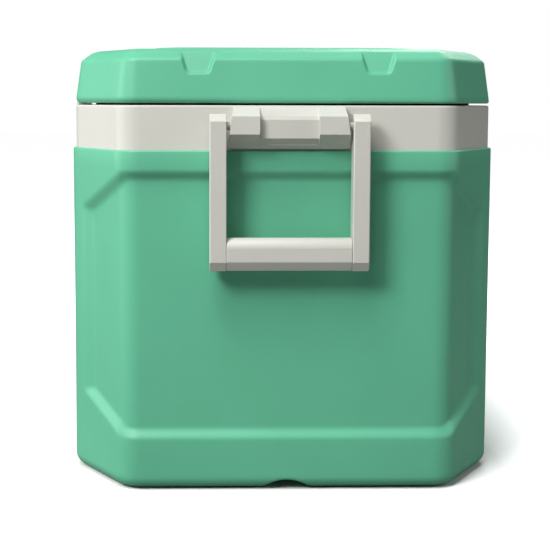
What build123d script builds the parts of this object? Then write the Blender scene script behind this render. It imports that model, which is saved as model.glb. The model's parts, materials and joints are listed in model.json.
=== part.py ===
"""Moulded ice chest: body, collar and tub, lid, swing handles, latch, hinges and drain.

Millimetres. X runs along the length, -Y is the latch side, +Z is up, and the
origin is on the floor under the middle of the chest.
"""
import os
from math import hypot

from build123d import *

# Overall shape
LENGTH = 690.0            # end face to end face of the body
WIDTH = 444.0             # long side to long side of the body
FACET_ACROSS = 57.0       # what a corner facet takes off the end face
FACET_DEEP = 92.0         # what it takes off the long side
BLEND = 30.0              # radius where a facet meets a flat side
WALL = 3.0                # thickness of every moulded skin
GAP = 0.3                 # space between a skin and what it holds

# Heights
BASE = 1.5                # underside of the body; the feet stand 1.5 proud
BASE_FILLET = 12.0
BODY_TOP = 343.5
COLLAR_TOP = 388.0
LID_BOTTOM = 390.0
LID_LIP = 393.5
LID_SHOULDER = 433.5
LID_EDGE = 441.5
LID_TOP = 444.0
PAD_HEIGHT = 2.0          # raised pad on the lid
PAD_LENGTH, PAD_WIDTH = 612.0, 276.0
PAD_RADIUS = 40.0
PAD_SLOPE = 60.0          # degrees from upright

# Recessed panels
RECESS = 6.0
RECESS_SLOPE = 8.0
WINDOW_LOW = 54.5
WINDOW_HIGH = 322.5
WINDOW_CUT_ACROSS = 41.0
WINDOW_CUT_UP = 34.0
END_WINDOW_HALF = 205.0
SIDE_WINDOW_HALF = 232.0

# Underside
CHANNEL_CHORD = 48.0
CHANNEL_RISE = 9.5
FOOT_X, FOOT_Y = 250.0, 150.0
FOOT_LENGTH, FOOT_WIDTH, FOOT_HEIGHT = 70.0, 34.0, 4.0

# Collar and tub
COLLAR_INSET = WALL + GAP
SKIRT_LOW = 330.0
TUB_INSET = 48.0
TUB_RADIUS = 45.0
TUB_TAPER = 1.5
TUB_FLOOR = 48.0

# Lid
LID_INSET = 3.2
PLUG_INSET = 52.0
PLUG_LOW = 375.0
NOTCH_Y = 89.5
NOTCH_LOW = 419.5

# Hinges
HINGE_X = 180.0
HINGE_Y = 217.0
HINGE_Z = 389.0
HINGE_HALF = 30.0
KNUCKLE = 5.0
HINGE_PIN = 2.5
BAY_BACK = 210.5
BAY_HALF = 31.5
BAY_LOW = 361.0
BAY_HIGH = 417.0
LEAF = 2.5

# Swing handles, measured outward from the end face of the collar
COLLAR_END = LENGTH / 2 - COLLAR_INSET
PIVOT_OUT = 17.0
PIVOT_Z = 368.0
ARM_INNER = 61.6
ARM_OUTER = 78.0
ARM_NEAR = 7.0
ARM_FAR = 29.0
ARM_LOW = 226.5
ARM_HIGH = 379.7
GRIP_TOP = 258.9
PIVOT_PIN = 4.0
GRIP_BOLT = 4.0

# Latch
LATCH_Y = -219.0
LATCH_Z = 413.0
LATCH_HALF = 44.0
LATCH_PIN = 2.5
LATCH_BAY_HALF = 47.0
LATCH_BAY_BACK = 211.0
LATCH_BAY_LOW = 398.0
LATCH_BAY_HIGH = 428.0

# Drain
DRAIN_Z = 66.0
DRAIN_BOSS = 26.0
DRAIN_TUBE = 10.5
DRAIN_BORE = 8.0
DRAIN_NECK = 12.0

RUNNING = 0.05            # radial clearance of a turning joint
FIT = 0.1                 # radial clearance round a fixed fastener


def outline(inset=0.0):
    """Eight-sided plan of the chest with blended corners, every side moved in by inset."""
    lean_x, lean_y, reach = facet(inset)
    end, side = LENGTH / 2 - inset, WIDTH / 2 - inset
    end_y = (reach - lean_x * end) / lean_y
    side_x = (reach - lean_y * side) / lean_x
    right = [(side_x, -side), (end, -end_y), (end, end_y), (side_x, side)]
    plan = Polygon(*right, *[(-x, -y) for x, y in right], align=None)
    return fillet(plan.vertices(), BLEND - inset)


def facet(inset=0.0):
    """Outward direction of a corner facet and its distance from the middle."""
    run = hypot(FACET_ACROSS, FACET_DEEP)
    lean_x, lean_y = FACET_ACROSS / run, FACET_DEEP / run
    reach = lean_x * LENGTH / 2 + lean_y * (WIDTH / 2 - FACET_ACROSS)
    return lean_x, lean_y, reach - inset


def prism(inset, low, high):
    """Straight-sided block on the chest plan."""
    return Pos(0, 0, low) * extrude(outline(inset), amount=high - low)


def tower(*levels):
    """Block through (height, inset) levels joined by straight walls."""
    return loft([Pos(0, 0, z) * outline(inset) for z, inset in levels], ruled=True)


def box(x0, x1, y0, y1, z0, z1):
    """Box between two corners."""
    centre = Pos((x0 + x1) / 2, (y0 + y1) / 2, (z0 + z1) / 2)
    return centre * Box(abs(x1 - x0), abs(y1 - y0), abs(z1 - z0))


def rod_x(radius, x0, x1, y, z):
    """Cylinder along X."""
    return Pos((x0 + x1) / 2, y, z) * Rot(0, 90, 0) * Cylinder(radius, abs(x1 - x0))


def rod_y(radius, y0, y1, x, z):
    """Cylinder along Y."""
    return Pos(x, (y0 + y1) / 2, z) * Rot(90, 0, 0) * Cylinder(radius, abs(y1 - y0))


def across_y(points, y0, y1):
    """Extrude a polygon of (x, z) points from y0 to y1."""
    plane = Plane((0, y0, 0), x_dir=(1, 0, 0), z_dir=(0, -1, 0))
    return extrude(plane * Polygon(*points, align=None), amount=y1 - y0, dir=(0, 1, 0))


def across_x(points, x0, x1):
    """Extrude a polygon of (y, z) points from x0 to x1."""
    plane = Plane((x0, 0, 0), x_dir=(0, 1, 0), z_dir=(1, 0, 0))
    return extrude(plane * Polygon(*points, align=None), amount=x1 - x0, dir=(1, 0, 0))


def both_ends(shape):
    """The shape and its copy turned half round about Z."""
    return shape + Rot(0, 0, 180) * shape


def opposite(shape):
    """The shape turned half round about Z."""
    return Rot(0, 0, 180) * shape


# ---------------------------------------------------------------- body

def window_points(half_width, inset):
    """Octagon of a recessed panel seen square on, grown by inset and a little spill."""
    spill = 1.0
    half = half_width + inset
    low = WINDOW_LOW - inset - spill
    high = WINDOW_HIGH + inset + spill
    rise = WINDOW_CUT_UP + spill
    run = rise * WINDOW_CUT_ACROSS / WINDOW_CUT_UP
    right = [(half - run, low), (half, low + rise), (half, high - rise), (half - run, high)]
    left = [(-across, up) for across, up in reversed(right)]
    return right + left


def recess_cutter(inset):
    """Everything removed from the body to sink its four panels."""
    low = WINDOW_LOW - inset
    high = WINDOW_HIGH + inset
    spill = RECESS / RECESS_SLOPE
    core = tower(
        (low - 1, inset - spill),
        (low + RECESS_SLOPE, inset + RECESS),
        (high - RECESS_SLOPE, inset + RECESS),
        (high + 1, inset - spill),
    )
    ring = prism(inset - 2, low - 1, high + 1) - core
    end = across_x(window_points(END_WINDOW_HALF, inset), 250, 354)
    drain_end = end - rod_x(DRAIN_BOSS - inset, 240, 360, 0, DRAIN_Z)
    side = across_y(window_points(SIDE_WINDOW_HALF, inset), -231, -206)
    return ring & (drain_end + opposite(end) + side + opposite(side))


def base_channel(inset):
    """Shallow arch running under the body along X."""
    radius = ((CHANNEL_CHORD / 2) ** 2 + CHANNEL_RISE ** 2) / (2 * CHANNEL_RISE)
    return rod_x(radius + inset, -400, 400, 0, BASE + CHANNEL_RISE - radius)


def foot_block(margin, top):
    """The four feet, grown sideways by margin, up to height top."""
    plan = RectangleRounded(FOOT_LENGTH + 2 * margin, FOOT_WIDTH + 2 * margin, 8 + margin)
    one = extrude(plan, amount=top)
    spots = [(x, y) for x in (-FOOT_X, FOOT_X) for y in (-FOOT_Y, FOOT_Y)]
    return [Pos(x, y, 0) * one for x, y in spots]


def body_block(inset, top):
    """The body as a solid with every outside face moved in by inset."""
    block = prism(inset, BASE + inset, top)
    block = fillet(block.edges().group_by(Axis.Z)[0], BASE_FILLET - inset)
    block -= recess_cutter(inset)
    block -= base_channel(inset)
    for foot in foot_block(0.2 + inset, FOOT_HEIGHT + 0.2 + inset):
        block -= foot
    return block


def outer_shell():
    """Green skin of the body, open at the top."""
    shell = body_block(0, BODY_TOP) - body_block(WALL, BODY_TOP + 1)
    rim = shell.edges().group_by(Axis.Z)[-1]
    outside = rim.filter_by(lambda edge: is_outside(edge, WALL / 2))
    shell = fillet(outside, 1.4)
    return shell - rod_x(DRAIN_TUBE + FIT, 320, 360, 0, DRAIN_Z)


def is_outside(edge, inset):
    """True for an edge lying outside the chest plan moved in by inset."""
    middle = edge.position_at(0.5)
    reach_x = LENGTH / 2 - inset
    reach_y = WIDTH / 2 - inset
    lean_x, lean_y, reach = facet(inset)
    over_side = abs(middle.X) > reach_x or abs(middle.Y) > reach_y
    return over_side or lean_x * abs(middle.X) + lean_y * abs(middle.Y) > reach


def tub_block(grow, low, high):
    """Tapered, rounded block of the tub hollow, grown sideways by grow."""
    plan = RectangleRounded(
        LENGTH - 2 * TUB_INSET + 2 * grow,
        WIDTH - 2 * TUB_INSET + 2 * grow,
        TUB_RADIUS + grow,
    )
    block = extrude(plan, amount=-(high - low), taper=TUB_TAPER)
    return Pos(0, 0, high) * block


def hinge_bays(grow, low=BAY_LOW, high=BAY_HIGH):
    """Pockets in the back of collar and lid that hold the hinges."""
    bay = box(
        -BAY_HALF - grow, BAY_HALF + grow,
        BAY_BACK - grow, WIDTH / 2 + 10,
        low - grow, high + grow,
    )
    return Pos(HINGE_X, 0, 0) * bay + Pos(-HINGE_X, 0, 0) * bay


def liner_collar():
    """White collar, rim and tub moulded in one."""
    skirt = prism(COLLAR_INSET, SKIRT_LOW, COLLAR_TOP)
    skirt = fillet(skirt.edges().group_by(Axis.Z)[-1], 2.0)
    skirt -= hinge_bays(0)
    inside = prism(COLLAR_INSET + WALL, SKIRT_LOW - 1, COLLAR_TOP - WALL)
    inside -= hinge_bays(WALL)
    collar = skirt - inside
    outer = tub_block(WALL, TUB_FLOOR - WALL, COLLAR_TOP - 1)
    outer = fillet(outer.edges().group_by(Axis.Z)[0], 11)
    hollow = tub_block(0, TUB_FLOOR, COLLAR_TOP)
    hollow = fillet(hollow.edges().group_by(Axis.Z)[0], 8)
    collar = collar + outer - hollow
    collar -= rod_x(DRAIN_TUBE + FIT, 260, 320, 0, DRAIN_Z)
    for hole in bracket_shanks(2.4 + FIT):
        collar -= hole
    for hole in hinge_shanks(-1, 1.6 + FIT):
        collar -= hole
    for hole in keeper_shanks(1.6 + FIT):
        collar -= hole
    return collar


def body_insulation():
    """Foam between the shell and the tub."""
    foam = body_block(WALL + GAP, SKIRT_LOW - 1)
    neck = prism(COLLAR_INSET + WALL + GAP, SKIRT_LOW - 2, COLLAR_TOP - WALL - GAP)
    foam = foam + neck - hinge_bays(WALL + GAP)
    tub = tub_block(WALL + GAP, TUB_FLOOR - WALL - GAP, COLLAR_TOP)
    foam -= fillet(tub.edges().group_by(Axis.Z)[0], 11)
    foam -= rod_x(DRAIN_TUBE + GAP, 260, 360, 0, DRAIN_Z)
    for pocket in bracket_heads(5 + GAP, GAP):
        foam -= pocket
    for pocket in hinge_shanks(-1, 1.6 + GAP):
        foam -= pocket
    for pocket in keeper_shanks(1.6 + GAP):
        foam -= pocket
    return foam


# ---------------------------------------------------------------- lid

def strap_notch(grow, y):
    """One scoop in the +X edge of the lid, grown by grow."""
    end = LENGTH / 2
    foot = Rectangle(30 + grow, 22 + 2 * grow, align=(Align.MAX, Align.CENTER))
    mouth = Rectangle(40 + grow, 36 + 2 * grow, align=(Align.MAX, Align.CENTER))
    low = Pos(end + 20.5, y, NOTCH_LOW - grow) * foot
    high = Pos(end + 20.5, y, LID_EDGE + 0.5) * mouth
    return loft([low, high], ruled=True)


def latch_bay(grow):
    """Flat pocket in the front wall of the lid behind the latch."""
    return box(
        -LATCH_BAY_HALF - grow, LATCH_BAY_HALF + grow,
        -WIDTH / 2 - 10, -LATCH_BAY_BACK + grow,
        LATCH_BAY_LOW - grow, LATCH_BAY_HIGH + grow,
    )


def lid_block(grow):
    """The lid as a solid, its skin moved in by grow, with its pockets cut."""
    if grow:
        block = tower(
            (LID_BOTTOM - 1, LID_INSET + grow + 2.8),
            (LID_LIP, LID_INSET + grow + 2.8),
            (LID_SHOULDER - 1, 9 + grow),
            (LID_EDGE - grow, 20 + grow / 2),
            (LID_TOP - grow, 28),
        )
    else:
        block = tower(
            (LID_BOTTOM, LID_INSET + 2.8),
            (LID_LIP, LID_INSET),
            (LID_SHOULDER, 9),
            (LID_EDGE, 20),
            (LID_TOP, 28),
        )
    notches = strap_notch(grow, NOTCH_Y) + strap_notch(grow, -NOTCH_Y)
    block -= both_ends(notches)
    block -= hinge_bays(grow)
    return block - latch_bay(grow)


def lid_outer():
    """Green top skin of the lid with its raised pad."""
    plan = RectangleRounded(PAD_LENGTH, PAD_WIDTH, PAD_RADIUS)
    pad = extrude(plan, amount=PAD_HEIGHT, taper=PAD_SLOPE)
    skin = lid_block(0) + Pos(0, 0, LID_TOP) * pad - lid_block(WALL)
    for hole in hinge_shanks(1, 1.6 + FIT):
        skin -= hole
    for hole in latch_shanks(1.6 + FIT):
        skin -= hole
    return skin


def plug_plan(grow):
    """Plan of the part of the lid that drops into the tub."""
    return RectangleRounded(
        LENGTH - 2 * PLUG_INSET + 2 * grow,
        WIDTH - 2 * PLUG_INSET + 2 * grow,
        TUB_RADIUS - 4 + grow,
    )


def lid_flange(inset):
    """Flat underside of the lid inside the skin."""
    plate = prism(inset, LID_BOTTOM, LID_BOTTOM + WALL)
    return plate - hinge_bays(WALL + GAP)


def lid_liner():
    """White underside of the lid with the plug that drops into the tub."""
    flange = lid_flange(LID_INSET + 2.8 + WALL + GAP)
    plug = Pos(0, 0, PLUG_LOW) * extrude(plug_plan(0), amount=LID_BOTTOM - PLUG_LOW + 1)
    plug = fillet(plug.edges().group_by(Axis.Z)[0], 6)
    hollow = extrude(plug_plan(-WALL), amount=LID_BOTTOM - PLUG_LOW + WALL)
    return flange + plug - Pos(0, 0, PLUG_LOW + WALL) * hollow


def lid_insulation():
    """Foam inside the lid."""
    foam = lid_block(WALL + GAP) - prism(0, LID_BOTTOM - 2, LID_BOTTOM + WALL + GAP)
    depth = LID_BOTTOM - PLUG_LOW
    plug = extrude(plug_plan(-WALL - GAP), amount=depth + 2)
    foam += Pos(0, 0, PLUG_LOW + WALL + GAP) * plug
    for pocket in hinge_shanks(1, 1.6 + GAP):
        foam -= pocket
    for pocket in latch_shanks(1.6 + GAP):
        foam -= pocket
    return foam


def lid_gasket():
    """Rubber seal under the lid flange."""
    return prism(24, COLLAR_TOP + GAP, LID_BOTTOM) - prism(28.5, COLLAR_TOP, LID_TOP)


# ---------------------------------------------------------------- hinges

def hinge_spans(side):
    """X spans of the knuckles: three on the body leaf (-1), two on the lid leaf (1)."""
    if side < 0:
        return [(-30.0, -18.2), (-5.8, 5.8), (18.2, 30.0)]
    return [(-17.8, -6.2), (6.2, 17.8)]


def hinge_leaf(side):
    """One hinge leaf at X = 0; side -1 is the body leaf, 1 the lid leaf."""
    near = HINGE_Z + side * 8
    far = BAY_LOW + 3 if side < 0 else BAY_HIGH - 3
    plate = box(-HINGE_HALF, HINGE_HALF, BAY_BACK, BAY_BACK + LEAF, near, far)
    for x0, x1 in hinge_spans(side):
        plate += box(x0, x1, BAY_BACK, HINGE_Y - 3, HINGE_Z, near + side)
        plate += rod_x(KNUCKLE, x0, x1, HINGE_Y, HINGE_Z)
    clearance = RUNNING if side > 0 else 0.02
    plate -= rod_x(HINGE_PIN + clearance, -40, 40, HINGE_Y, HINGE_Z)
    for x in (-20, 20):
        plate -= rod_y(1.6 + FIT, BAY_BACK - 5, BAY_BACK + 5, x, (near + far) / 2)
    return plate


def hinge_pin():
    """Steel pin of one hinge, at X = 0."""
    return rod_x(HINGE_PIN, -HINGE_HALF, HINGE_HALF, HINGE_Y, HINGE_Z)


def hinge_screw_spots(side):
    """(x, z) of the hinge screws on the body (-1) or the lid (1)."""
    near = HINGE_Z + side * 8
    far = BAY_LOW + 3 if side < 0 else BAY_HIGH - 3
    return [(hx + x, (near + far) / 2) for hx in (-HINGE_X, HINGE_X) for x in (-20, 20)]


def hinge_shanks(side, radius):
    """Shanks of the hinge screws."""
    spots = hinge_screw_spots(side)
    return [rod_y(radius, BAY_BACK - 13, BAY_BACK + LEAF, x, z) for x, z in spots]


def hinge_screws(side):
    """Hinge screws with low round heads."""
    head_y = BAY_BACK + LEAF
    screws = []
    for x, z in hinge_screw_spots(side):
        shank = rod_y(1.6, BAY_BACK - 12.5, head_y + 0.2, x, z)
        head = rod_y(3.4, head_y, head_y + 2.0, x, z)
        head = chamfer(head.edges().group_by(Axis.Y)[-1], 0.8)
        screws.append(cross_slot(shank + head, x, head_y + 2.0, z, 1))
    return screws


def cross_slot(screw, x, y, z, facing):
    """Cut a cross drive into a head whose top is at y, facing +Y or -Y."""
    deep = y - facing * 1.0
    slot = box(x - 2.2, x + 2.2, deep, y + facing, z - 0.45, z + 0.45)
    slot += box(x - 0.45, x + 0.45, deep, y + facing, z - 2.2, z + 2.2)
    return screw - slot


# ---------------------------------------------------------------- swing handles

def bracket_profile(points):
    """Turn (outward, z) points into (x, z) at the +X end."""
    return [(COLLAR_END + out, z) for out, z in points]


def bracket():
    """Handle bracket at the +X end: two faceted blocks joined by a lower bridge."""
    block = bracket_profile(
        [(0, 387), (8, 387), (26, 377.5), (26, 360), (6, 345.5), (0, 345.5)]
    )
    bridge = bracket_profile(
        [(0, 387), (8, 387), (16.5, 377.5), (18, 374), (18, 356), (11, 350), (11, 345.5), (0, 345.5)]
    )
    trim = [(-60.6, 345), (60.6, 345), (54.7, 388), (-54.7, 388)]
    body = across_y(block, -62, 62) & across_x(trim, COLLAR_END - 1, COLLAR_END + 40)
    gap = [(0, 340), (40, 340), (40, 390), (0, 390)]
    body -= across_y(bracket_profile(gap), -29, 29) - across_y(bridge, -30, 30)
    for side in (-1, 1):
        body -= rod_y(PIVOT_PIN + 0.02, side * 30, side * 64, COLLAR_END + PIVOT_OUT, PIVOT_Z)
    for hole in bracket_shanks(2.4 + FIT)[:4]:
        body -= hole
    return body


def bracket_spots():
    """(y, z) of the four screws that hold a bracket from behind."""
    return [(y, z) for y in (-44, 44) for z in (354, 380)]


def bracket_shanks(radius):
    """Shanks of the bracket screws, the first four at the +X end."""
    right = [rod_x(radius, COLLAR_END - 3.3, COLLAR_END + 10, y, z) for y, z in bracket_spots()]
    return right + [opposite(shank) for shank in right]


def bracket_heads(radius, space):
    """Heads of the bracket screws behind the collar skin, at both ends."""
    near = COLLAR_END - WALL
    right = [rod_x(radius, near - 3 - space, near, y, z) for y, z in bracket_spots()]
    return right + [opposite(head) for head in right]


def bracket_screws():
    """Four screws of the +X bracket."""
    heads = bracket_heads(5, 0)[:4]
    shanks = []
    for y, z in bracket_spots():
        shanks.append(rod_x(2.4, COLLAR_END - WALL - 1, COLLAR_END + 9, y, z))
    return [head + shank for head, shank in zip(heads, shanks)]


def arm(side):
    """One handle arm at the +X end; side is the sign of its Y."""
    points = bracket_profile([
        (ARM_NEAR, ARM_LOW), (ARM_FAR - 6, ARM_LOW), (ARM_FAR, ARM_LOW + 9),
        (ARM_FAR, ARM_HIGH - 7), (ARM_FAR - 7, ARM_HIGH), (ARM_NEAR + 5, ARM_HIGH),
        (ARM_NEAR, ARM_HIGH - 5),
    ])
    y0, y1 = sorted((side * ARM_INNER, side * ARM_OUTER))
    body = across_y(points, y0, y1)
    body = chamfer(body.edges().filter_by(Axis.Z).group_by(Axis.X)[-1], 0.8)
    pivot_x = COLLAR_END + PIVOT_OUT
    body -= rod_y(PIVOT_PIN + RUNNING, side * 60, side * 80, pivot_x, PIVOT_Z)
    body -= rod_y(7.0, side * 73.5, side * 80, pivot_x, PIVOT_Z)
    bolt_x, bolt_z = grip_centre()
    body -= rod_y(GRIP_BOLT + FIT, side * 60, side * 80, bolt_x, bolt_z)
    body -= rod_y(7.6, side * 73.5, side * 80, bolt_x, bolt_z)
    return body


def grip_centre():
    """(x, z) of the bolt through the grip at the +X end."""
    return COLLAR_END + 18, ARM_LOW + 16.5


def grip():
    """Hand grip between the arms: round on top, flat underneath."""
    low, high = ARM_LOW + 0.3, GRIP_TOP
    points = bracket_profile([
        (ARM_NEAR - 0.5, low), (ARM_FAR - 6, low), (ARM_FAR, low + 9),
        (ARM_FAR, high), (ARM_NEAR - 0.5, high),
    ])
    half = ARM_INNER - 0.1
    body = across_y(points, -half, half)
    body = fillet(body.edges().filter_by(Axis.Y).group_by(Axis.Z)[-1], 10.5)
    bolt_x, bolt_z = grip_centre()
    return body - rod_y(GRIP_BOLT + FIT, -70, 70, bolt_x, bolt_z)


def grip_bolt():
    """Bolt holding the arms to the grip, head on the -Y side."""
    bolt_x, bolt_z = grip_centre()
    head = rod_y(6.5, -77.5, -73.5, bolt_x, bolt_z)
    head = chamfer(head.edges().group_by(Axis.Y)[0], 0.8)
    socket = Pos(bolt_x, -78, bolt_z) * Rot(-90, 0, 0) * extrude(RegularPolygon(2.9, 6), amount=3)
    return rod_y(GRIP_BOLT, -74, 76.5, bolt_x, bolt_z) + head - socket


def grip_nut():
    """Nut on the +Y side of the grip bolt."""
    bolt_x, bolt_z = grip_centre()
    nut = Pos(bolt_x, 73.5, bolt_z) * Rot(-90, 0, 0) * extrude(RegularPolygon(6.8, 6), amount=3.6)
    return nut - rod_y(GRIP_BOLT + FIT, 70, 80, bolt_x, bolt_z)


def pivot_pins():
    """Two headed pins fixed in the +X bracket; the arms swing on them."""
    pivot_x = COLLAR_END + PIVOT_OUT
    pins = []
    for side in (-1, 1):
        head = rod_y(6.5, side * 73.9, side * 77.2, pivot_x, PIVOT_Z)
        outer = head.edges().group_by(Axis.Y)[0 if side < 0 else -1]
        head = chamfer(outer, 0.9)
        pins.append(head + rod_y(PIVOT_PIN, side * 30, side * 74.5, pivot_x, PIVOT_Z))
    return pins


# ---------------------------------------------------------------- latch

def latch_bracket():
    """Plate in the lid pocket with two ears for the latch pin."""
    back = -LATCH_BAY_BACK
    plate = box(-LATCH_HALF, LATCH_HALF, back - 2.5, back, LATCH_BAY_LOW + 2, LATCH_BAY_HIGH - 2)
    for side in (-1, 1):
        x0, x1 = side * 27, side * 35
        plate += box(x0, x1, LATCH_Y, back - 1, LATCH_Z - 5, LATCH_Z + 5)
        plate += rod_x(5, x0, x1, LATCH_Y, LATCH_Z)
    plate -= rod_x(LATCH_PIN + 0.02, -50, 50, LATCH_Y, LATCH_Z)
    for hole in latch_shanks(1.6 + FIT):
        plate -= hole
    return plate


def latch_spots():
    """(x, z) of the latch bracket screws."""
    return [(x, z) for x in (-14, 14) for z in (404, 422)]


def latch_shanks(radius):
    """Shanks of the latch bracket screws."""
    back = -LATCH_BAY_BACK
    return [rod_y(radius, back - 2.5, back + 13, x, z) for x, z in latch_spots()]


def flat_screw(x, z, face, length):
    """Screw into a -Y face: low head standing 1.6 off the face."""
    head = rod_y(3.2, face - 1.6, face, x, z)
    head = chamfer(head.edges().group_by(Axis.Y)[0], 0.6)
    return cross_slot(head + rod_y(1.6, face - 0.2, face + length, x, z), x, face - 1.6, z, -1)


def latch_screws():
    """Four screws of the latch bracket."""
    return [flat_screw(x, z, -LATCH_BAY_BACK - 2.5, 15) for x, z in latch_spots()]


def latch_lever():
    """Pull-down latch: a cover plate hung on the pin, with a finger lip."""
    out = LATCH_Y - 7.5
    profile = [
        (LATCH_Y - 3, LATCH_Z - 7), (LATCH_Y - 3, LATCH_Z + 4.5), (out + 3, LATCH_Z + 5),
        (out, LATCH_Z + 3), (out - 1.0, 372), (out - 1.0, 362), (out - 3, 352),
        (out - 2, 349.5), (out + 1.5, 354), (out + 4, 362), (out + 4, 398),
    ]
    body = across_x(profile, -LATCH_HALF, LATCH_HALF)
    upright = body.edges().filter_by(Axis.X, reverse=True)
    sides = upright.filter_by(lambda edge: edge.center().Y < out + 2)
    body = chamfer(sides, 1.0)
    for side in (-1, 1):
        body -= box(side * 26.5, side * 35.5, LATCH_Y - 5.6, LATCH_Y + 8, LATCH_Z - 5.6, LATCH_Z + 12)
    body -= box(-35, 35, LATCH_Y - 5.0, LATCH_Y + 8, 380, LATCH_Z - 5.6)
    for x0, x1 in ((-26.4, 26.4), (-LATCH_HALF + 1, -35.6), (35.6, LATCH_HALF - 1)):
        body += rod_x(4.5, x0, x1, LATCH_Y, LATCH_Z)
    return body - rod_x(LATCH_PIN + RUNNING, -50, 50, LATCH_Y, LATCH_Z)


def latch_pin():
    """Steel pin of the latch."""
    return rod_x(LATCH_PIN, -LATCH_HALF + 1, LATCH_HALF - 1, LATCH_Y, LATCH_Z)


def keeper():
    """Catch block on the front of the collar behind the latch."""
    face = -WIDTH / 2 + COLLAR_INSET
    profile = [(face, 358), (face - 2.6, 359.5), (face - 2.6, 373), (face, 377)]
    block = across_x(profile, -30, 30)
    for x, z in keeper_spots():
        block -= rod_y(1.7, face - 5, face + 2, x, z)
        block -= rod_y(3.5, face - 5, face - 1.0, x, z)
    return block


def keeper_spots():
    """(x, z) of the keeper screws."""
    return [(-20, 366), (20, 366)]


def keeper_shanks(radius):
    """Shanks of the keeper screws."""
    face = -WIDTH / 2 + COLLAR_INSET
    return [rod_y(radius, face - 1, face + 12, x, z) for x, z in keeper_spots()]


def keeper_screws():
    """Two screws of the keeper, heads sunk in it."""
    face = -WIDTH / 2 + COLLAR_INSET - 1.0
    return [flat_screw(x, z, face, 12) for x, z in keeper_spots()]


# ---------------------------------------------------------------- drain

def drain_spout():
    """Tube through the end wall with an outer flange and a threaded neck."""
    end = LENGTH / 2
    spout = rod_x(DRAIN_TUBE, 281, end + 1, 0, DRAIN_Z)
    flange = rod_x(18, end, end + 3, 0, DRAIN_Z)
    spout += chamfer(flange.edges().group_by(Axis.X)[-1], 1)
    spout += rod_x(DRAIN_NECK, end + 2, end + 15, 0, DRAIN_Z)
    return spout - rod_x(DRAIN_BORE, 270, 370, 0, DRAIN_Z)


def drain_nut():
    """Hexagon nut inside the tub."""
    nut = extrude(RegularPolygon(13, 6, rotation=30), amount=5)
    nut = Pos(282.2, 0, DRAIN_Z) * Rot(0, 90, 0) * nut
    return nut - rod_x(DRAIN_TUBE + FIT, 270, 300, 0, DRAIN_Z)


def drain_cap():
    """Ribbed screw cap outside."""
    start, stop = LENGTH / 2 + 3.6, LENGTH / 2 + 20.5
    cap = rod_x(16.5, start, stop, 0, DRAIN_Z)
    cap = chamfer(cap.edges().group_by(Axis.X)[-1], 1.8)
    flute = rod_x(2.2, start + 2.5, stop + 1, 0, 0)
    for turn in range(12):
        cap -= Pos(0, 0, DRAIN_Z) * Rot(30 * turn, 0, 0) * Pos(0, 17.6, 0) * flute
    return cap - rod_x(DRAIN_NECK + RUNNING, start - 1, stop - 3, 0, DRAIN_Z)


def drain_seal():
    """Rubber disc between the neck and the cap."""
    neck_end = LENGTH / 2 + 15
    return rod_x(11.4, neck_end + 0.4, neck_end + 2.2, 0, DRAIN_Z)


def group(shapes):
    """Several solids as one node."""
    return Compound(children=[Part(shape.wrapped) for shape in shapes])


def handle_nodes():
    """Nodes of one swing handle at the +X end, with its bracket."""
    return {
        "bracket": bracket(),
        "bracket_screws": group(bracket_screws()),
        "pivot_pins": group(pivot_pins()),
        "arm_front": arm(-1),
        "arm_rear": arm(1),
        "grip": grip(),
        "grip_bolt": grip_bolt(),
        "grip_nut": grip_nut(),
    }


def build():
    """Every node and its shape."""
    nodes = {
        "outer_shell": outer_shell(),
        "liner_collar": liner_collar(),
        "body_insulation": body_insulation(),
        "feet": group(foot_block(0, FOOT_HEIGHT)),
        "lid_outer": lid_outer(),
        "lid_liner": lid_liner(),
        "lid_insulation": lid_insulation(),
        "lid_gasket": lid_gasket(),
        "hinge_body_screws": group(hinge_screws(-1)),
        "hinge_lid_screws": group(hinge_screws(1)),
        "latch_bracket": latch_bracket(),
        "latch_screws": group(latch_screws()),
        "latch_lever": latch_lever(),
        "latch_pin": latch_pin(),
        "keeper": keeper(),
        "keeper_screws": group(keeper_screws()),
        "drain_spout": drain_spout(),
        "drain_nut": drain_nut(),
        "drain_cap": drain_cap(),
        "drain_seal": drain_seal(),
    }
    for name, shift in (("left", -HINGE_X), ("right", HINGE_X)):
        nodes["hinge_body_leaf_" + name] = Pos(shift, 0, 0) * hinge_leaf(-1)
        nodes["hinge_lid_leaf_" + name] = Pos(shift, 0, 0) * hinge_leaf(1)
        nodes["hinge_pin_" + name] = Pos(shift, 0, 0) * hinge_pin()
    for part, shape in handle_nodes().items():
        nodes["handle_right_" + part] = shape
        turned = {"arm_front": "arm_rear", "arm_rear": "arm_front"}.get(part, part)
        nodes["handle_left_" + turned] = opposite(shape)
    return nodes


os.makedirs("parts", exist_ok=True)
for node, shape in build().items():
    export_step(shape, f"parts/{node}.step")
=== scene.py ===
"""Looks of the moulded ice chest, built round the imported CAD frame. Metres."""

import json
import math

import bpy
import numpy as np
from mathutils import Matrix, Vector


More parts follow.
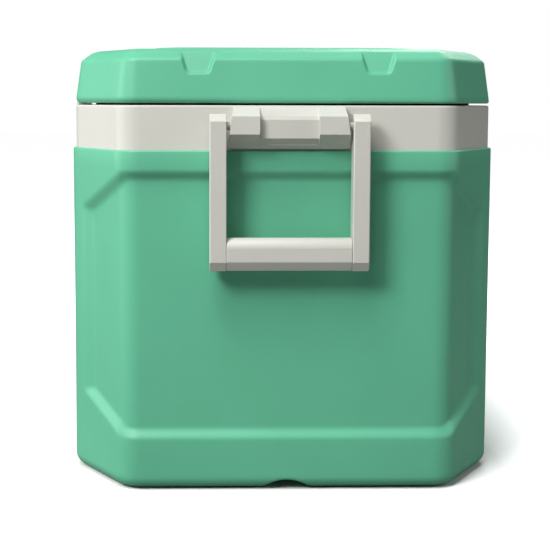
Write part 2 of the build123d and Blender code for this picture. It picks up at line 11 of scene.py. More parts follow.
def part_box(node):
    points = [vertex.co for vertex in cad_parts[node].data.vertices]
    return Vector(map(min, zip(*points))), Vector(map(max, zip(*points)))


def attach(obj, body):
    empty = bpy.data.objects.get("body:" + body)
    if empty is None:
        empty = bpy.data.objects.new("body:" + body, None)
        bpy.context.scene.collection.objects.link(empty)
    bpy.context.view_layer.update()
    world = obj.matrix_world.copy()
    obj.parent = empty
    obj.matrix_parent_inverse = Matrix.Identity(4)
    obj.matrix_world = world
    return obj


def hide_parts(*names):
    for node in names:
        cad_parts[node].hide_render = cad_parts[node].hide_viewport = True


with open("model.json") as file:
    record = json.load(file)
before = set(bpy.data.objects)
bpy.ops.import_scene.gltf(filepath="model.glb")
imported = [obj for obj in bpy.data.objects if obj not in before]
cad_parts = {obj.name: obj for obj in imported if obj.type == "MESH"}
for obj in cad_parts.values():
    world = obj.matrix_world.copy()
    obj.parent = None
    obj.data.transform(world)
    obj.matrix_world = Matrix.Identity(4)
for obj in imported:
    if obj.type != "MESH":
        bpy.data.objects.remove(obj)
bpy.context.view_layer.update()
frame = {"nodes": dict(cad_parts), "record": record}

MM = 0.001

# Plan of the chest
LOW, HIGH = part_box("outer_shell")
HALF_LENGTH = HIGH.x
HALF_WIDTH = HIGH.y
FACET_ACROSS = 57 * MM    # what a corner facet takes off the end face
FACET_DEEP = 92 * MM      # what it takes off the long side
BLEND = 30 * MM           # radius between a facet and a flat side; insets stay under it
ARC_STEPS = 8

# Body
BASE = LOW.z
BODY_TOP = HIGH.z
BASE_FILLET = 12 * MM
SKIN = 3 * MM
RIM_ROUND = 1.6 * MM
RIM_ANGLES = (30, 60, 90)
RIM_FLAT_END = SKIN - 0.2 * MM

# Sunk panels of the body
RECESS = 6 * MM
RECESS_SLOPE = 8 * MM     # width of the ramp down into a panel
WINDOW_LOW, WINDOW_HIGH = 54.3 * MM, 322.7 * MM
WINDOW_CUT_ACROSS = 45 * MM
LOW_CUT_UP, HIGH_CUT_UP = 33 * MM, 40 * MM
END_WINDOW_HALF, SIDE_WINDOW_HALF = 211 * MM, 232 * MM
CORNER_SOFT, BOSS_SOFT = 3 * MM, 2 * MM
ON_END, ON_SIDE = 0.05, 0.95    # least part of a normal that puts a column on that face
DRAIN_Z = (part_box("drain_cap")[0].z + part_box("drain_cap")[1].z) / 2
DRAIN_BOSS = 26 * MM

# Channel under the body
CHANNEL_CHORD, CHANNEL_RISE = 48 * MM, 9.5 * MM
CHANNEL_ZONE = 40 * MM    # columns this near the middle keep their place across the base

# Spacing of the body's mesh
BORDER_MARGIN = 3 * MM
BAND_MARGIN = 4 * MM
SIDE_MARGIN = 6 * MM
OUTER_STEPS = {"fillet": 7, "fine": 1.6 * MM, "wide": 15 * MM}
INNER_STEPS = {"fillet": 3, "fine": 4 * MM, "wide": 40 * MM}
CHANNEL_SPAN, CHANNEL_STEP = 36 * MM, 2.4 * MM
END_SPAN, END_STEP = 170 * MM, 12 * MM
FACET_STEP = 1.9 * MM
SIDE_FINE, SIDE_WIDE = 2 * MM, 26 * MM

# Lid
LID_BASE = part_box("lid_outer")[0].z
LID_FACE = 3.2 * MM       # inset of the lid wall just above its lower edge
LID_TOP = 444 * MM
LID_LIP = 394 * MM
LID_LEAN = 0.145          # inset of the wall for each unit of height
LID_PROFILE = [
    (LID_FACE, LID_LIP), (9.0 * MM, 433.5 * MM), (20.0 * MM, 441.5 * MM),
    (28.0 * MM, LID_TOP), (29.7 * MM, LID_TOP),
]
LID_STEP = 0.9 * MM
LID_ROUND = 2.4 * MM
LID_INNER = [
    (9.0 * MM, LID_BASE), (9.0 * MM, LID_LIP), (12.2 * MM, 431 * MM),
    (21.5 * MM, 438 * MM), (29.5 * MM, 440.8 * MM),
]
INNER_STEP, INNER_ROUND = 5 * MM, 2 * MM
INNER_REACH = 2 * MM      # the inner skin clears notches and bays this far up and down

# Rounding of the lid's lower lip, which grows towards the hinges
LIP_STEPS = 6
LIP_IN, LIP_IN_MORE = 2.8 * MM, 2.6 * MM
LIP_UP, LIP_UP_MORE = 3.2 * MM, 3.2 * MM
LIP_END = LID_BASE + 6.6 * MM

# Raised middle of the lid's top
PAD_HALF_LENGTH, PAD_HALF_WIDTH, PAD_RADIUS = 306 * MM, 138 * MM, 40 * MM
PAD_CORNER_POINTS = 14
PAD_PROFILE = [
    (0.0, -0.4), (0.0, 0.0), (0.5, 0.12), (1.1, 0.45), (2.3, 1.35), (3.2, 1.85), (4.0, 2.0),
    (5.0, 2.0),
]

# Strap notches in the lid's ends
NOTCH_Y = 89.5 * MM
NOTCH_LOW, NOTCH_RISE = 419.5 * MM, 22.5 * MM
NOTCH_HALF, NOTCH_SPREAD = 11 * MM, 7 * MM
NOTCH_INSET, NOTCH_LEAN = 9.5 * MM, 10 * MM
NOTCH_EDGE, NOTCH_SOFT = 2.4 * MM, 4 * MM
NOTCH_ZONE, NOTCH_STEP = 24 * MM, 0.8 * MM
LID_WIDE_STEP = 16 * MM
LID_SIDE_STOPS = (-225 * MM, 0, 225 * MM)

# Bays for the hinge leaves and the latch
SQUARE_ON = 0.99          # least part of a normal that counts as straight out of a face
HINGE_X, BAY_HALF = 180 * MM, 31.5 * MM
BAY_INSET, BAY_HIGH = 11.6 * MM, 417 * MM
LATCH_BAY_HALF, LATCH_BAY_INSET = 47 * MM, 11.1 * MM
LATCH_BAY_LOW, LATCH_BAY_HIGH = 398 * MM, 428 * MM
STEP_GAP = 0.1 * MM       # a bay's sharp edge falls between rows or columns this far from it
CLEAR_OF_STEP = 0.3 * MM


# ---------------------------------------------------------------- mesh helpers

def mesh_object(name, verts, faces, smooth=True):
    """New mesh object at the origin."""
    mesh = bpy.data.meshes.new(name)
    mesh.from_pydata([tuple(v) for v in verts], [], faces)
    mesh.validate()
    mesh.update()
    obj = bpy.data.objects.new(name, mesh)
    bpy.context.scene.collection.objects.link(obj)
    if smooth:
        mesh.polygons.foreach_set("use_smooth", [True] * len(mesh.polygons))
    return obj


def smoothstep(t):
    """0 to 1 with level ends."""
    t = np.clip(t, 0, 1)
    return t * t * (3 - 2 * t)


def soft_ramp(t, ease=0.3):
    """Straight ramp from 0 to 1 with its two corners rounded."""
    def rounded(u):
        return np.where(u < -ease, 0, np.where(u > ease, u, (u + ease) ** 2 / (4 * ease)))
    return np.clip(rounded(t) - rounded(t - 1), 0, 1)


def smooth_min(a, b, width):
    """Minimum with its crease rounded over width."""
    mix = np.clip(0.5 + 0.5 * (b - a) / width, 0, 1)
    return b * (1 - mix) + a * mix - width * mix * (1 - mix)


def spaced(*zones):
    """Sorted positions that fill each (start, stop, step) zone."""
    found = set()
    for start, stop, step in zones:
        count = max(1, round((stop - start) / step))
        found.update(round(start + (stop - start) * i / count, 7) for i in range(count + 1))
    return sorted(found)


def along(points, step, ease):
    """Points every step along a polyline, its corners rounded over ease."""
    points = np.array(points)
    legs = np.hypot(*np.diff(points, axis=0).T)
    reach = np.concatenate([[0], np.cumsum(legs)])
    stops = np.linspace(0, reach[-1], max(2, round(reach[-1] / step)) + 1)
    found = np.zeros((len(stops), 2))
    shifts = np.linspace(-ease, ease, 9)
    for shift in shifts:
        width = np.minimum(stops, reach[-1] - stops)
        at = stops + np.clip(shift, -width, width)
        for axis in (0, 1):
            found[:, axis] += np.interp(at, reach, points[:, axis]) / len(shifts)
    return [tuple(row) for row in found]


def ring_faces(rows, columns):
    """Quads between rows of a closed ring, row after row."""
    faces = []
    for r in range(rows - 1):
        low, high = r * columns, (r + 1) * columns
        for c in range(columns):
            d = (c + 1) % columns
            faces.append((low + c, low + d, high + d, high + c))
    return faces


class Plan:
    """Points round the chest plan with outward normals, one per mesh column."""

    def __init__(self, end_stops, facet_step, side_stops):
        self.lean = math.atan2(FACET_DEEP, FACET_ACROSS)
        end_trim = BLEND * math.tan(self.lean / 2)
        side_trim = BLEND * math.tan((math.pi / 2 - self.lean) / 2)
        self.end_reach = HALF_WIDTH - FACET_ACROSS - end_trim
        self.side_reach = HALF_LENGTH - FACET_DEEP - side_trim
        ends = self.within(end_stops, self.end_reach)
        sides = self.within(side_stops, self.side_reach)
        quarter = self.corner(facet_step)
        self.corner_count = len(quarter)
        self.end_count = len(ends)
        self.side_count = len(sides)
        self.points, self.normals = [], []
        for sx, sy, on_end in ((1, 1, True), (-1, 1, False), (-1, -1, True), (1, -1, False)):
            if on_end:
                for y in ends:
                    self.add((sx * HALF_LENGTH, sx * y), (sx, 0))
            else:
                for x in reversed(sides):
                    self.add((sy * x, sy * HALF_WIDTH), (0, sy))
            points = quarter if sx * sy > 0 else reversed(quarter)
            for (x, y), (nx, ny) in points:
                self.add((sx * x, sy * y), (sx * nx, sy * ny))
        self.points = np.array(self.points)
        self.normals = np.array(self.normals)

    @staticmethod
    def within(stops, reach):
        """The stops that lie on a straight side, with its two ends."""
        return [-reach, *(s for s in stops if abs(s) < reach - 0.01 * MM), reach]

    def add(self, point, normal):
        self.points.append(point)
        self.normals.append(normal)

    def corner(self, facet_step):
        """Blend, facet and blend of the +X +Y corner, without its two end points."""
        found = []
        first = Vector((HALF_LENGTH - BLEND, self.end_reach))
        second = Vector((self.side_reach, HALF_WIDTH - BLEND))
        for i in range(1, ARC_STEPS + 1):
            found.append(self.on_arc(first, i / ARC_STEPS * self.lean))
        start = Vector(found[-1][0])
        stop = Vector(self.on_arc(second, self.lean)[0])
        count = max(1, round((stop - start).length / facet_step))
        for i in range(1, count):
            found.append((tuple(start.lerp(stop, i / count)), found[ARC_STEPS - 1][1]))
        for i in range(ARC_STEPS):
            turn = self.lean + i / ARC_STEPS * (math.pi / 2 - self.lean)
            found.append(self.on_arc(second, turn))
        return found

    @staticmethod
    def on_arc(centre, angle):
        """Point and normal at an angle on the blend round centre."""
        normal = (math.cos(angle), math.sin(angle))
        return (centre.x + BLEND * normal[0], centre.y + BLEND * normal[1]), normal

    def ring(self, inset, z):
        """3-D points of one row; inset and z are numbers or one value per column."""
        inset = np.broadcast_to(inset, len(self.points))
        xy = self.points - self.normals * inset[:, None]
        return np.column_stack([xy, np.broadcast_to(z, len(self.points))])


# ---------------------------------------------------------------- body

def octagon_depth(across, up, half):
    """Distance inside the outline of a sunk panel, negative outside it."""
    run = half - np.abs(across)
    inside = np.minimum(run, np.minimum(up - WINDOW_LOW, WINDOW_HIGH - up))
    for rise, cut_up in ((up - WINDOW_LOW, LOW_CUT_UP), (WINDOW_HIGH - up, HIGH_CUT_UP)):
        cut = rise * WINDOW_CUT_ACROSS + run * cut_up - WINDOW_CUT_ACROSS * cut_up
        inside = smooth_min(inside, cut / math.hypot(WINDOW_CUT_ACROSS, cut_up), CORNER_SOFT)
    return inside


def recess_at(plan, z):
    """How far each column is sunk at height z."""
    x, y = plan.points[:, 0], plan.points[:, 1]
    end = octagon_depth(y, z, END_WINDOW_HALF)
    boss = np.hypot(y, z - DRAIN_Z) - DRAIN_BOSS
    end = np.where(x > 0, smooth_min(end, boss, BOSS_SOFT), end)
    end = np.where(np.abs(plan.normals[:, 0]) > ON_END, end, -1)
    side = octagon_depth(x, z, SIDE_WINDOW_HALF)
    side = np.where(np.abs(plan.normals[:, 1]) > ON_SIDE, side, -1)
    return RECESS * soft_ramp(np.maximum(end, side) / RECESS_SLOPE)


def arch(y, grow=0.0):
    """Height of the arc of the channel at y; it is below the base away from the channel."""
    radius = ((CHANNEL_CHORD / 2) ** 2 + CHANNEL_RISE ** 2) / (2 * CHANNEL_RISE)
    centre = BASE + CHANNEL_RISE - radius
    inside = np.maximum((radius + grow) ** 2 - np.asarray(y) ** 2, 0)
    return centre + np.sqrt(inside)


def body_rows(plan, grow, steps):
    """Rows of the outer skin (grow 0) or the inner one, from the base to the rim."""
    rows = []
    floor = BASE + grow
    radius = BASE_FILLET - grow
    lift = arch(plan.points[:, 1], grow)
    for i in range(steps["fillet"] + 1):
        angle = i / steps["fillet"] * math.pi / 2
        inset = grow + radius * (1 - math.sin(angle))
        z = floor + radius * (1 - math.cos(angle))
        rows.append((inset, np.maximum(z, lift)))
    band = HIGH_CUT_UP + RECESS_SLOPE + BAND_MARGIN
    low_edge, high_edge = WINDOW_LOW - BORDER_MARGIN, WINDOW_HIGH + BORDER_MARGIN
    heights = spaced(
        (BASE + BASE_FILLET + BAND_MARGIN, low_edge, steps["wide"]),
        (low_edge, WINDOW_LOW + band, steps["fine"]),
        (WINDOW_LOW + band, WINDOW_HIGH - band, steps["wide"]),
        (WINDOW_HIGH - band, high_edge, steps["fine"]),
        (high_edge, BODY_TOP - RIM_ROUND, steps["wide"]),
    )
    for z in heights:
        rows.append((grow + recess_at(plan, z), z))
    return rows


def underside(plan, ring_row, grow, flip):
    """Grid that closes the base inside ring_row, with the channel.

    Returns new points and quads. A quad's index is a new point if it is zero or more, and
    column -1 - index of ring_row if it is negative.
    """
    ends, total = plan.end_count, len(plan.points)
    half = 2 * plan.corner_count + plan.side_count
    verts = []
    index = np.zeros((half + 2, ends), int)
    y_end = ring_row[:ends, 1]
    for i in range(half + 2):
        upper, lower = ends - 1 + i, -i % total    # the +Y column and its mirror in -Y
        x, reach = ring_row[upper][0], ring_row[upper][1]
        for k in range(ends):
            if k == 0 or k == ends - 1:
                index[i, k] = -1 - (lower if k == 0 else upper)
                continue
            if i == 0 or i == half + 1:
                far_end = ends - 1 + half + 1 + (ends - 1 - k)
                index[i, k] = -1 - (k if i == 0 else far_end)
                continue
            y = y_end[k]
            if abs(y) > CHANNEL_ZONE:
                share = (abs(y) - CHANNEL_ZONE) / (y_end[-1] - CHANNEL_ZONE)
                y = math.copysign(CHANNEL_ZONE + share * (reach - CHANNEL_ZONE), y)
            index[i, k] = len(verts)
            verts.append((x, y, max(BASE + grow, float(arch(y, grow)))))
    faces = []
    for i in range(half + 1):
        for k in range(ends - 1):
            quad = (index[i, k], index[i + 1, k], index[i + 1, k + 1], index[i, k + 1])
            faces.append(quad[::-1] if flip else quad)
    return verts, faces


def body_shell():
    """Green body: sunk panels, rounded base, channel, rim and inner skin in one closed mesh."""
    window_edge = SIDE_WINDOW_HALF - WINDOW_CUT_ACROSS - SIDE_MARGIN
    side_reach = SIDE_WINDOW_HALF + BORDER_MARGIN
    plan = Plan(
        end_stops=spaced(
            (-END_SPAN, -CHANNEL_SPAN, END_STEP), (-CHANNEL_SPAN, CHANNEL_SPAN, CHANNEL_STEP),
            (CHANNEL_SPAN, END_SPAN, END_STEP),
        ),
        facet_step=FACET_STEP,
        side_stops=spaced(
            (-side_reach, -window_edge, SIDE_FINE), (-window_edge, window_edge, SIDE_WIDE),
            (window_edge, side_reach, SIDE_FINE),
        ),
    )
    rows = body_rows(plan, 0, OUTER_STEPS)
    for turn in map(math.radians, RIM_ANGLES):
        rows.append((
            RIM_ROUND * (1 - math.cos(turn)), BODY_TOP - RIM_ROUND * (1 - math.sin(turn)),
        ))
    rows.append((RIM_FLAT_END, BODY_TOP))
    rows += body_rows(plan, SKIN, INNER_STEPS)[::-1]
    rings = [plan.ring(inset, z) for inset, z in rows]
    columns = len(plan.points)
    verts = [tuple(point) for ring in rings for point in ring]
    faces = ring_faces(len(rows), columns)
    last_start = len(verts) - columns
    for ring_row, start, grow, flip in (
        (rings[0], 0, 0.0, False), (rings[-1], last_start, SKIN, True),
    ):
        extra, patch = underside(plan, ring_row, grow, flip)
        base = len(verts)
        verts += extra
        for quad in patch:
            faces.append([base + q if q >= 0 else start + (-1 - q) for q in quad])
    return mesh_object("body_shell", verts, faces)


# ---------------------------------------------------------------- lid

def lid_sink(plan, inset, z):
    """Inset of every column of the lid wall at height z, with its notches and bays."""
    x, y = plan.points[:, 0], plan.points[:, 1]
    inset = np.broadcast_to(inset, len(x)).astype(float)
    share = (z - NOTCH_LOW) / NOTCH_RISE
    beside = NOTCH_HALF + NOTCH_SPREAD * share - np.abs(np.abs(y) - NOTCH_Y)
    inside = smooth_min(beside, z - NOTCH_LOW, NOTCH_SOFT)
    depth = np.maximum(NOTCH_INSET + NOTCH_LEAN * share - inset, 0)
    at_end = np.abs(plan.normals[:, 0]) > SQUARE_ON
    inset = inset + np.where(at_end, depth * soft_ramp(inside / NOTCH_EDGE + 0.4), 0)
    at_hinge = (plan.normals[:, 1] > SQUARE_ON) & (np.abs(np.abs(x) - HINGE_X) < BAY_HALF)
    inset = np.where(at_hinge & (z < BAY_HIGH), BAY_INSET, inset)
    at_latch = (plan.normals[:, 1] < -SQUARE_ON) & (np.abs(x) < LATCH_BAY_HALF)
    in_bay = at_latch & (z > LATCH_BAY_LOW) & (z < LATCH_BAY_HIGH)
    return np.where(in_bay, LATCH_BAY_INSET, inset)


def lid_rows(plan):
    """Outer rows of the lid from its lower edge to its top plane."""
    lean = smoothstep((plan.points[:, 1] / HALF_WIDTH + 0.9) / 1.8)
    lip_in, lip_up = LIP_IN + LIP_IN_MORE * lean, LIP_UP + LIP_UP_MORE * lean
    rows = []
    for i in range(LIP_STEPS):
        angle = i / LIP_STEPS * math.pi / 2
        z = LID_BASE + lip_up * (1 - math.cos(angle))
        wall = LID_FACE + LID_LEAN * (z - LID_LIP)
        rows.append((lid_sink(plan, wall + lip_in * (1 - math.sin(angle)), z), z))
    wall = [row for row in along(LID_PROFILE, LID_STEP, LID_ROUND) if row[1] > LIP_END]
    insets, heights = zip(*wall)
    edges = (LATCH_BAY_LOW, LATCH_BAY_HIGH, BAY_HIGH)
    low = [edge + side * STEP_GAP for edge in edges for side in (-1, 1)]
    for z in heights:
        clear = min(abs(z - edge) for edge in edges) > CLEAR_OF_STEP
        if clear and z < LATCH_BAY_HIGH + 2 * MM:
            low.append(z)
    low.sort()
    for z in low:
        rows.append((lid_sink(plan, np.interp(z, heights, insets), z), z))
    for inset, z in wall:
        if z > low[-1] + 2 * STEP_GAP:
            rows.append((lid_sink(plan, inset, z), z))
    return rows


def lid_pad():
    """Raised middle of the lid top: a low slab with eased edges."""
    verts = []
    for grow, rise in PAD_PROFILE:
        radius = PAD_RADIUS - grow * MM
        for quarter, (sx, sy) in enumerate(((1, 1), (-1, 1), (-1, -1), (1, -1))):
            for i in range(PAD_CORNER_POINTS):
                angle = math.pi / 2 * (quarter + i / (PAD_CORNER_POINTS - 1))
                verts.append((
                    sx * (PAD_HALF_LENGTH - PAD_RADIUS) + radius * math.cos(angle),
                    sy * (PAD_HALF_WIDTH - PAD_RADIUS) + radius * math.sin(angle),
                    LID_TOP + rise * MM,
                ))
    return verts, 4 * PAD_CORNER_POINTS


def capped(verts, columns):
    """Faces of a stack of rings, closed at its first and last ring."""
    faces = ring_faces(len(verts) // columns, columns)
    faces.append(tuple(range(columns))[::-1])
    faces.append(tuple(range(len(verts) - columns, len(verts))))
    return faces


def lid_shell():
    """Green lid: bevelled wall with notches and bays, a raised pad and a 3 mm skin."""
    bay_walls = [
        side * (edge + step * STEP_GAP)
        for edge in (HINGE_X - BAY_HALF, HINGE_X + BAY_HALF, LATCH_BAY_HALF)
        for step in (-1, 1) for side in (-1, 1)
    ]
    plan = Plan(
        end_stops=spaced(
            (-NOTCH_Y - NOTCH_ZONE, -NOTCH_Y + NOTCH_ZONE, NOTCH_STEP),
            (-NOTCH_Y + NOTCH_ZONE, NOTCH_Y - NOTCH_ZONE, LID_WIDE_STEP),
            (NOTCH_Y - NOTCH_ZONE, NOTCH_Y + NOTCH_ZONE, NOTCH_STEP),
        ),
        facet_step=LID_WIDE_STEP,
        side_stops=sorted([*bay_walls, *LID_SIDE_STOPS]),
    )
    inner = []
    for inset, z in along(LID_INNER, INNER_STEP, INNER_ROUND):
        near = np.maximum(*(lid_sink(plan, 0, z + side * INNER_REACH) for side in (-1, 1)))
        inner.append((np.maximum(inset, np.where(near > 0, near + SKIN, 0)), z))
    rows = inner[::-1] + lid_rows(plan)
    verts = [tuple(point) for inset, z in rows for point in plan.ring(inset, z)]
    faces = capped(verts, len(plan.points))
    pad_verts, pad_columns = lid_pad()
    start = len(verts)
    faces += [tuple(start + v for v in face) for face in capped(pad_verts, pad_columns)]
    return mesh_object("lid_shell", verts + pad_verts, faces)


# ---------------------------------------------------------------- materials

def new_material(name):
    """New material with its nodes, links, shader and object coordinates."""
    material = bpy.data.materials.new(name)
    material.use_nodes = True
    nodes, links = material.node_tree.nodes, material.node_tree.links
    coords = nodes.new("ShaderNodeTexCoord").outputs["Object"]
    return material, nodes, links, nodes["Principled BSDF"], coords


def noise(nodes, links, coords, scale, detail=3.0, rough=0.5):
    """Noise, around 0.5."""
    node = nodes.new("ShaderNodeTexNoise")
    node.inputs["Scale"].default_value = scale
    node.inputs["Detail"].default_value = detail
    node.inputs["Roughness"].default_value = rough
    links.new(coords, node.inputs["Vector"])
    return node.outputs["Fac"]


def remap(nodes, links, value, low, high, new_low, new_high):
    """Value taken from low..high to new_low..new_high."""
    node = nodes.new("ShaderNodeMapRange")
    node.inputs["From Min"].default_value = low
    node.inputs["From Max"].default_value = high
    node.inputs["To Min"].default_value = new_low
    node.inputs["To Max"].default_value = new_high
    links.new(value, node.inputs["Value"])
    return node.outputs["Result"]


def blend_colours(nodes, links, factor, first, second):
    """Mix of two colours; each is a socket or an RGB triple."""
    node = nodes.new("ShaderNodeMix")
    node.data_type = "RGBA"
    links.new(factor, node.inputs["Factor"])
    for slot, colour in (("A", first), ("B", second)):
        socket = [s for s in node.inputs if s.name == slot and s.type == "RGBA"][0]
        if isinstance(colour, bpy.types.NodeSocket):
            links.new(colour, socket)
        else:
            socket.default_value = (*colour, 1)
    return [s for s in node.outputs if s.type == "RGBA"][0]


def bump(nodes, links, height, strength, distance, normal=None):
    """Normal bent by a height, on top of another normal if one is given."""
    node = nodes.new("ShaderNodeBump")
    node.inputs["Strength"].default_value = strength
    node.inputs["Distance"].default_value = distance
    links.new(height, node.inputs["Height"])
    if normal is not None:
        links.new(normal, node.inputs["Normal"])
    return node.outputs["Normal"]


def shade(colour, factor):
    """Colour made lighter or darker."""
    return tuple(min(1.0, c * factor) for c in colour)


def moulded_plastic(name, colour, roughness, grain):
    """Satin moulded plastic: faint mottling, fine grain, slow waviness and paler worn edges."""
    material, nodes, links, shader, coords = new_material(name)
    cloud = noise(nodes, links, coords, scale=7.0, detail=4.0)
    speck = noise(nodes, links, coords, scale=190.0, rough=0.6)
    fine = noise(nodes, links, coords, scale=1500.0, detail=2.0)
    slow = noise(nodes, links, coords, scale=11.0, detail=2.0)
    edge = nodes.new("ShaderNodeNewGeometry").outputs["Pointiness"]
    mottled = remap(nodes, links, cloud, 0.3, 0.7, 0, 1)
    specked = remap(nodes, links, speck, 0.62, 0.78, 0, 0.35)
    worn = remap(nodes, links, edge, 0.52, 0.62, 0, 0.35)
    tone = blend_colours(nodes, links, mottled, shade(colour, 0.955), shade(colour, 1.04))
    tone = blend_colours(nodes, links, specked, tone, shade(colour, 0.93))
    tone = blend_colours(nodes, links, worn, tone, shade(colour, 1.3))
    links.new(tone, shader.inputs["Base Color"])
    uneven = remap(nodes, links, speck, 0.25, 0.75, roughness - 0.05, roughness + 0.07)
    links.new(uneven, shader.inputs["Roughness"])
    wave = bump(nodes, links, slow, 0.25, 0.6 * MM)
    links.new(bump(nodes, links, fine, grain, 0.12 * MM, wave), shader.inputs["Normal"])
    shader.inputs["Specular IOR Level"].default_value = 0.32
    return material


def plated_steel(name, colour):
    """Zinc plated steel with fine scratches and a dull bloom."""
    material, nodes, links, shader, coords = new_material(name)
    stretch = nodes.new("ShaderNodeMapping")
    stretch.inputs["Scale"].default_value = (40, 900, 900)
    links.new(coords, stretch.inputs["Vector"])
    scratch = noise(nodes, links, stretch.outputs["Vector"], scale=1.0, detail=4.0)
    bloom = noise(nodes, links, coords, scale=130.0, detail=4.0)
    dulled = remap(nodes, links, bloom, 0.35, 0.7, 0, 1)
    tone = blend_colours(nodes, links, dulled, colour, shade(colour, 0.72))
    links.new(tone, shader.inputs["Base Color"])
    links.new(remap(nodes, links, scratch, 0.3, 0.7, 0.24, 0.46), shader.inputs["Roughness"])
    links.new(bump(nodes, links, scratch, 0.3, 0.05 * MM), shader.inputs["Normal"])
    shader.inputs["Metallic"].default_value = 1.0
    return material


def rubber(name, colour):
    """Matt rubber with a powdery bloom."""
    material, nodes, links, shader, coords = new_material(name)
    bloom = noise(nodes, links, coords, scale=90.0, detail=5.0, rough=0.65)
    fine = noise(nodes, links, coords, scale=900.0)
    dusty = remap(nodes, links, bloom, 0.4, 0.75, 0, 1)
    tone = blend_colours(nodes, links, dusty, colour, shade(colour, 2.1))
    links.new(tone, shader.inputs["Base Color"])
    links.new(remap(nodes, links, fine, 0.2, 0.8, 0.68, 0.9), shader.inputs["Roughness"])
    links.new(bump(nodes, links, fine, 0.35, 0.2 * MM), shader.inputs["Normal"])
    return material


def rigid_foam(name, colour):
    """Closed-cell foam: small bubbles and uneven colour."""
    material, nodes, links, shader, coords = new_material(name)
    cells = nodes.new("ShaderNodeTexVoronoi")
    cells.inputs["Scale"].default_value = 700.0
    links.new(coords, cells.inputs["Vector"])
    cloud = noise(nodes, links, coords, scale=14.0, detail=4.0)
    uneven = remap(nodes, links, cloud, 0.3, 0.7, 0, 1)
    tone = blend_colours(nodes, links, uneven, shade(colour, 0.86), colour)
    links.new(tone, shader.inputs["Base Color"])
    links.new(bump(nodes, links, cells.outputs["Distance"], 0.6, 0.5 * MM), shader.inputs["Normal"])
    links.new(remap(nodes, links, cloud, 0.2, 0.8, 0.8, 0.95), shader.inputs["Roughness"])
    return material


GREEN = (0.112, 0.440, 0.272)
IVORY = (0.545, 0.540, 0.492)
STEEL = (0.55, 0.56, 0.57)
FOAM = (0.86, 0.78, 0.50)
SEAL_BLACK = (0.010, 0.010, 0.010)
FOOT_BLACK = (0.020, 0.020, 0.020)
MATERIALS = {
    "green_plastic": moulded_plastic("green_plastic", GREEN, roughness=0.42, grain=0.22),
    "ivory_plastic": moulded_plastic("ivory_plastic", IVORY, roughness=0.40, grain=0.18),
    "foam": rigid_foam("foam", FOAM),
    "steel": plated_steel("steel", STEEL),
    "seal_rubber": rubber("seal_rubber", SEAL_BLACK),
    "foot_rubber": rubber("foot_rubber", FOOT_BLACK),
}
SLOT_OF = {s["node"]: s["material_slot"] for s in frame["record"]["subparts"]}


# ---------------------------------------------------------------- build

# Rounded edge of the CAD nodes whose name holds the word
SOFT_EDGES = {
    "bracket": 1.1 * MM, "arm": 1.2 * MM, "grip": 1.0 * MM, "latch_lever": 0.8 * MM,
    "keeper": 0.6 * MM, "leaf": 0.4 * MM, "drain_cap": 0.6 * MM, "feet": 0.8 * MM,
}
SHARP = ("screw", "bolt", "nut")


def paint(obj, slot):
    """Give an object one material in place of any that it has."""
    obj.data.materials.clear()
    obj.data.materials.append(MATERIALS[slot])


def soften(obj, width):
    """Rounded moulded edges on a CAD node, by modifiers only."""
    weld = obj.modifiers.new("weld", "WELD")
    weld.merge_threshold = 0.01 * MM
    flat = obj.modifiers.new("flat", "DECIMATE")
    flat.decimate_type = "DISSOLVE"
    flat.angle_limit = math.radians(1)
    edge = obj.modifiers.new("edge", "BEVEL")
    edge.width = width
    edge.segments = 2
    edge.limit_method = "ANGLE"
    edge.angle_limit = math.radians(28)
    edge.use_clamp_overlap = True
    edge.harden_normals = True


def piece(obj, body, slot, *nodes):
    """Give a new piece the material of its slot, hang it on its body and hide the CAD nodes it
    stands for.
    """
    paint(obj, slot)
    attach(obj, body)
    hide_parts(*nodes)


for node, obj in frame["nodes"].items():
    paint(obj, SLOT_OF[node])
    widths = [width for word, width in SOFT_EDGES.items() if word in node]
    if widths and not any(word in node for word in SHARP):
        soften(obj, widths[0])

piece(body_shell(), "cooler_body", "green_plastic", "outer_shell")
piece(lid_shell(), "lid", "green_plastic", "lid_outer")


# ---------------------------------------------------------------- stage

FLOOR_REACH = 14.0
FLOOR_BOUNCE = (0.22, 0.22, 0.22, 1)    # what the floor throws back on the chest
FLOOR_SEEN = (0.95, 0.95, 0.95, 1)      # what the eye sees of it
# painted light on the floor: a glow, none within GLOW_START of the chest's footprint and full GLOW
# beyond GLOW_END, that washes out its cast shadow
GLOW_START, GLOW_END, GLOW = 15 * MM, 130 * MM, 0.9
AMBIENT = 0.09
WHITE = (1, 1, 1, 1)

# Name, azimuth (0 at -X, 90 at +Y), elevation, distance, size and watts of each soft box
LIGHTS = [
    ("key", 41, 37, 2.6, 0.85, 54),
    ("top", 32, 66, 2.4, 1.0, 38),
    ("side", 94, 16, 2.4, 1.3, 25),
    ("fill", -78, 15, 2.4, 1.3, 12),
    ("back", 205, 40, 2.6, 1.2, 26),
]
LIGHT_TARGET = Vector((-HALF_LENGTH, 0, 0.25))

CAMERA_SPOT = (-1.5723, 0.0777, 0.3914)
CAMERA_TURNS = (1.168, 5.648, 0.117)    # degrees to the right, down and of roll
LENS, SENSOR = 81.54, 36
SHIFT = (0.0727, -0.0909)


def seen_and_lit(nodes, links, lit, seen, output):
    """One look for the rays that light the chest and another for the eye."""
    choose = nodes.new("ShaderNodeMixShader")
    links.new(nodes.new("ShaderNodeLightPath").outputs["Is Camera Ray"], choose.inputs[0])
    links.new(lit.outputs[0], choose.inputs[1])
    links.new(seen.outputs[0], choose.inputs[2])
    links.new(choose.outputs[0], output.inputs["Surface"])


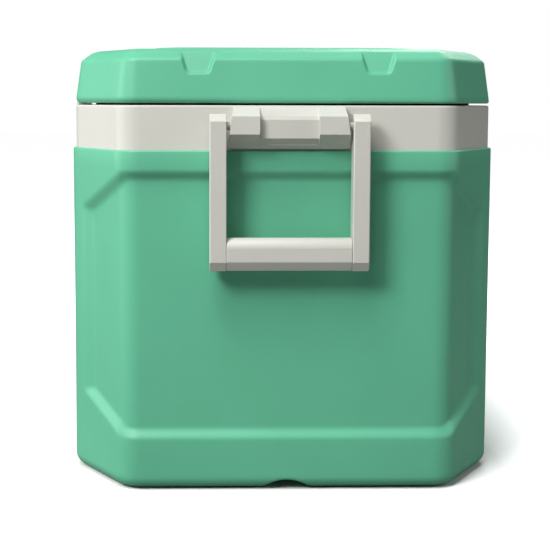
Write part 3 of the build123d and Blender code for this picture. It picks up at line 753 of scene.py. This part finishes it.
def floor_material():
    """Pale floor: to the eye a painted glow, growing away from the chest's footprint, pales out its
    cast shadow; middling as a reflector.
    """
    material, nodes, links, shader, away = new_material("studio_floor")
    shader.inputs["Roughness"].default_value = 0.85
    shader.inputs["Base Color"].default_value = FLOOR_BOUNCE
    seen = nodes.new("ShaderNodeBsdfDiffuse")
    seen.inputs["Color"].default_value = FLOOR_SEEN
    # distance from the chest's footprint
    foot = (HALF_LENGTH, HALF_WIDTH, 0.0)
    steps = (("ABSOLUTE", None), ("SUBTRACT", foot), ("MAXIMUM", (0, 0, 0)), ("LENGTH", None))
    for operation, other in steps:
        node = nodes.new("ShaderNodeVectorMath")
        node.operation = operation
        links.new(away, node.inputs[0])
        if other:
            node.inputs[1].default_value = other
        away = node.outputs["Value" if operation == "LENGTH" else "Vector"]
    # painted glow: the floor shines of itself to the eye, more the farther from the chest, so its
    # cast shadow fades
    painted_glow = nodes.new("ShaderNodeEmission")
    strength = remap(nodes, links, away, GLOW_START, GLOW_END, 0.0, GLOW)
    links.new(strength, painted_glow.inputs["Strength"])
    total = nodes.new("ShaderNodeAddShader")
    links.new(seen.outputs[0], total.inputs[0])
    links.new(painted_glow.outputs[0], total.inputs[1])
    seen_and_lit(nodes, links, shader, total, nodes["Material Output"])
    return material


def studio_floor():
    corners = ((-1, -1), (1, -1), (1, 1), (-1, 1))
    floor = mesh_object(
        "floor", [(FLOOR_REACH * x, FLOOR_REACH * y, 0) for x, y in corners], [(0, 1, 2, 3)],
        smooth=False,
    )
    floor.data.materials.append(floor_material())


def soft_box(name, azimuth, elevation, distance, size, watts):
    """Square area light aimed at the near end of the chest."""
    turn, rise = math.radians(azimuth), math.radians(elevation)
    away = Vector((
        -math.cos(rise) * math.cos(turn), math.cos(rise) * math.sin(turn), math.sin(rise),
    ))
    data = bpy.data.lights.new(name, "AREA")
    data.shape = "SQUARE"
    data.size = size
    data.energy = watts
    lamp = bpy.data.objects.new(name, data)
    lamp.location = LIGHT_TARGET + away * distance
    lamp.rotation_euler = away.to_track_quat("Z", "Y").to_euler()
    bpy.context.scene.collection.objects.link(lamp)


def pale_world():
    """White to the eye, faint as a light."""
    world = bpy.data.worlds.new("studio")
    bpy.context.scene.world = world
    world.use_nodes = True
    nodes, links = world.node_tree.nodes, world.node_tree.links
    ambient = nodes["Background"]
    backdrop = nodes.new("ShaderNodeBackground")
    for background, strength in ((ambient, AMBIENT), (backdrop, 1.0)):
        background.inputs["Color"].default_value = WHITE
        background.inputs["Strength"].default_value = strength
    seen_and_lit(nodes, links, ambient, backdrop, nodes["World Output"])


def camera():
    """Camera nearly square to the -X end, at about the height of the lid's lower edge."""
    yaw, pitch, roll = (math.radians(a) for a in CAMERA_TURNS)
    forward = Vector((
        math.cos(pitch) * math.cos(yaw), -math.cos(pitch) * math.sin(yaw), -math.sin(pitch),
    ))
    right = Vector((-math.sin(yaw), -math.cos(yaw), 0))
    up = right.cross(forward)
    level = Matrix((right, up, -forward)).transposed()
    turned = level @ Matrix.Rotation(roll, 3, "Z")
    data = bpy.data.cameras.new("camera")
    data.sensor_width = SENSOR
    data.lens = LENS
    data.shift_x, data.shift_y = SHIFT
    view = bpy.data.objects.new("camera", data)
    view.matrix_world = Matrix.Translation(CAMERA_SPOT) @ turned.to_4x4()
    bpy.context.scene.collection.objects.link(view)
    bpy.context.scene.camera = view


studio_floor()
for light in LIGHTS:
    soft_box(*light)
pale_world()
bpy.context.scene.view_settings.view_transform = "Standard"
camera()
bpy.context.view_layer.update()
